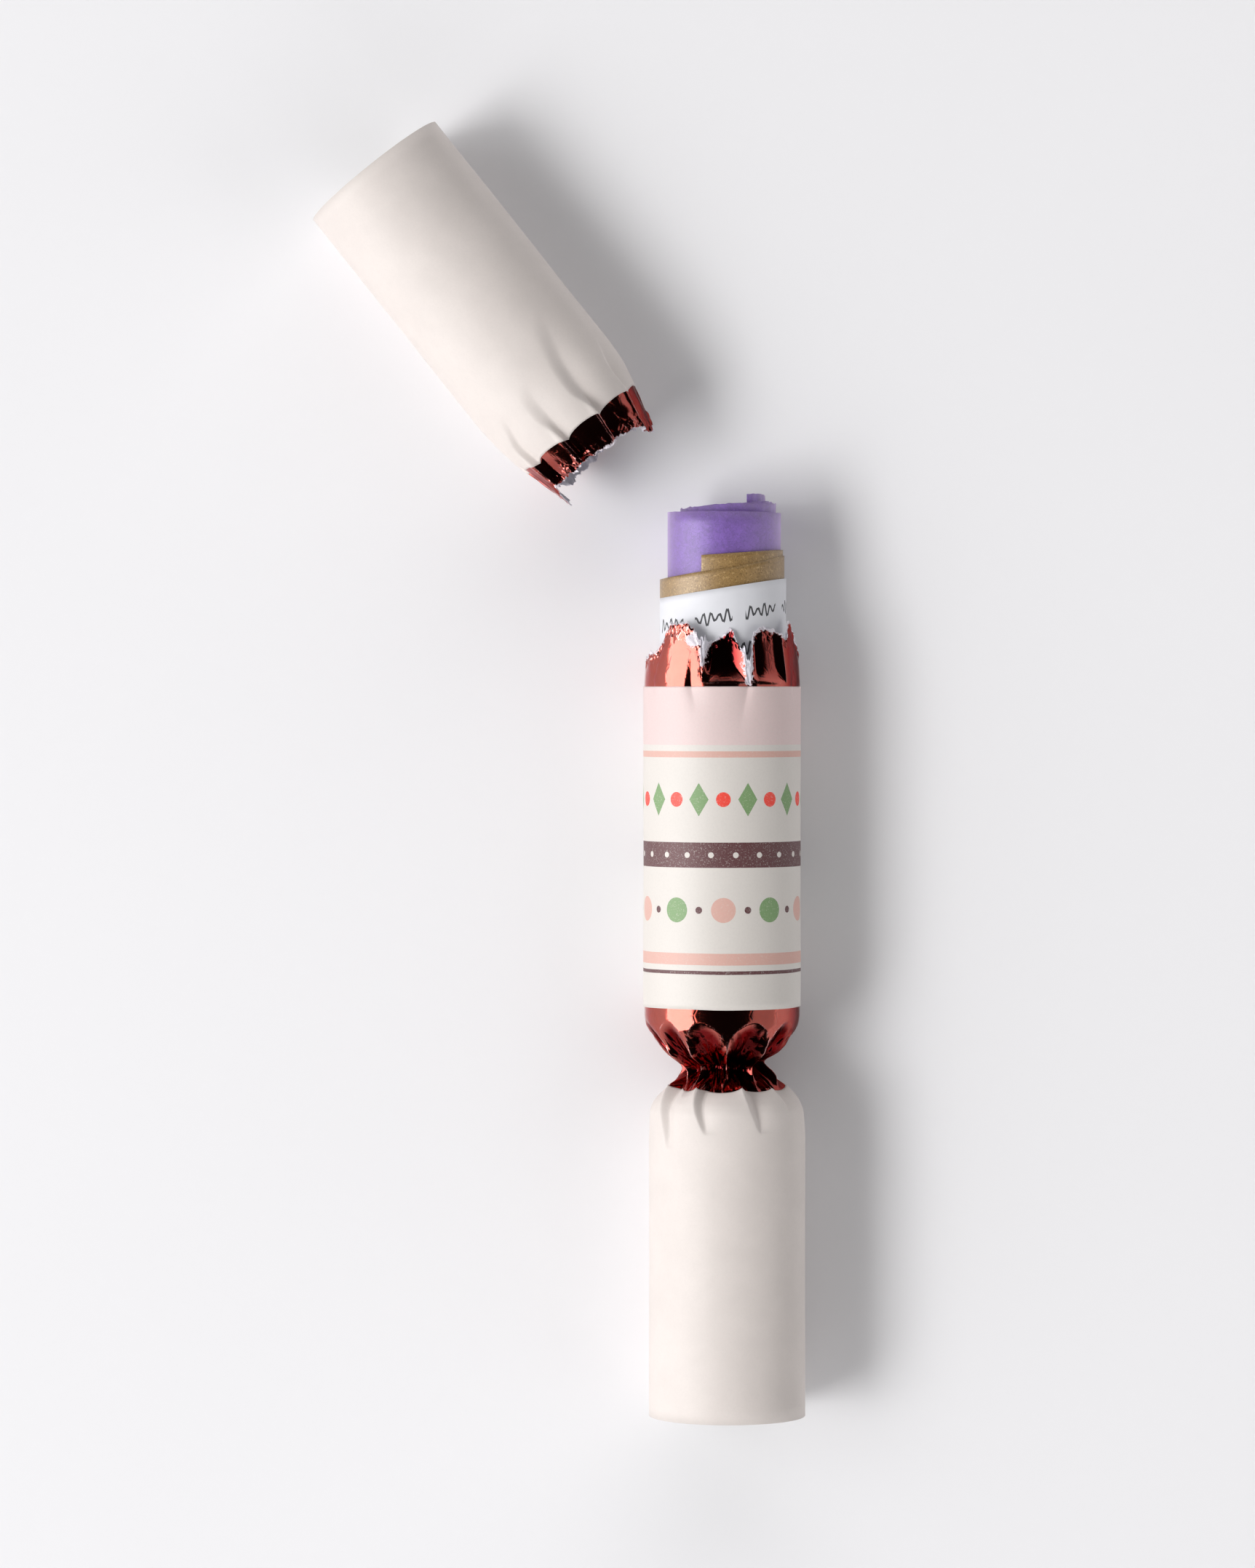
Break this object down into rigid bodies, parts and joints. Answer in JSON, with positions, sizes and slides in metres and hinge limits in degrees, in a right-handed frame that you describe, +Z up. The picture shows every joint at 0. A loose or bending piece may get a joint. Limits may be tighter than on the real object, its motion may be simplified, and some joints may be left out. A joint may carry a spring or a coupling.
{
  "type": "christmas cracker",
  "caption": "Paper party cracker, pulled open: printed barrel with a gathered foil neck and cream end, a torn-off end, a rolled tissue hat, a snap strip and a motto slip.",
  "frame": {"origin": "on the table under the middle of the whole part's box", "axes": "+Y along the barrel, from the whole end towards the torn mouth; +X to the barrel's right, away from the torn-off end; +Z up"},
  "size_m": [0.1278, 0.336, 0.041],
  "materials": {
    "printed_paper": "uncoated printed wrapping paper",
    "cream_paper": "uncoated cream wrapping paper",
    "foil_paper": "paper faced with bright red metal foil, white where it is torn",
    "tube_card": "grey-white card",
    "kraft_card": "brown kraft card",
    "tissue": "purple tissue paper",
    "slip_paper": "thin white paper",
    "charge": "dark rough coating",
    "turned_wood": "plain turned wood",
    "stained_wood": "red stained wood"
  },
  "bodies": {
    "cracker": {"barrel_tube": "tube_card", "barrel_cover": "printed_paper", "foil_collar": "foil_paper", "neck_foil": "foil_paper", "end_tube": "tube_card", "end_cover": "cream_paper", "snap_strip_lower": "kraft_card", "snap_charge": "charge", "snap_sleeve": "slip_paper"},
    "hat": {"hat_roll": "tissue"},
    "snap_half": {"snap_strip_upper": "kraft_card", "snap_striker": "charge"},
    "motto": {"motto_slip": "slip_paper"},
    "gift": {"top_body": "turned_wood", "top_stem": "stained_wood"},
    "torn_end": {"torn_end_tube": "tube_card", "torn_end_cover": "cream_paper", "torn_end_foil": "foil_paper"}
  },
  "joints": [
    {"name": "hat_slide", "type": "slide", "parent": "cracker", "child": "hat", "axis": [0, 1, 0], "range_m": [-0.012, 0.045]},
    {"name": "snap_half_slide", "type": "slide", "parent": "cracker", "child": "snap_half", "axis": [0, 1, 0], "range_m": [-0.005, 0.03]},
    {"name": "motto_slide", "type": "slide", "parent": "cracker", "child": "motto", "axis": [0, 1, 0], "range_m": [-0.01, 0.04]},
    {"name": "gift_slide", "type": "slide", "parent": "cracker", "child": "gift", "axis": [0, 1, 0], "range_m": [0, 0.018]},
    {"name": "torn_end_slide", "type": "slide", "parent": "cracker", "child": "torn_end", "axis": [-0.6225, 0.7826, 0], "range_m": [0, 0.08]}
  ]
}
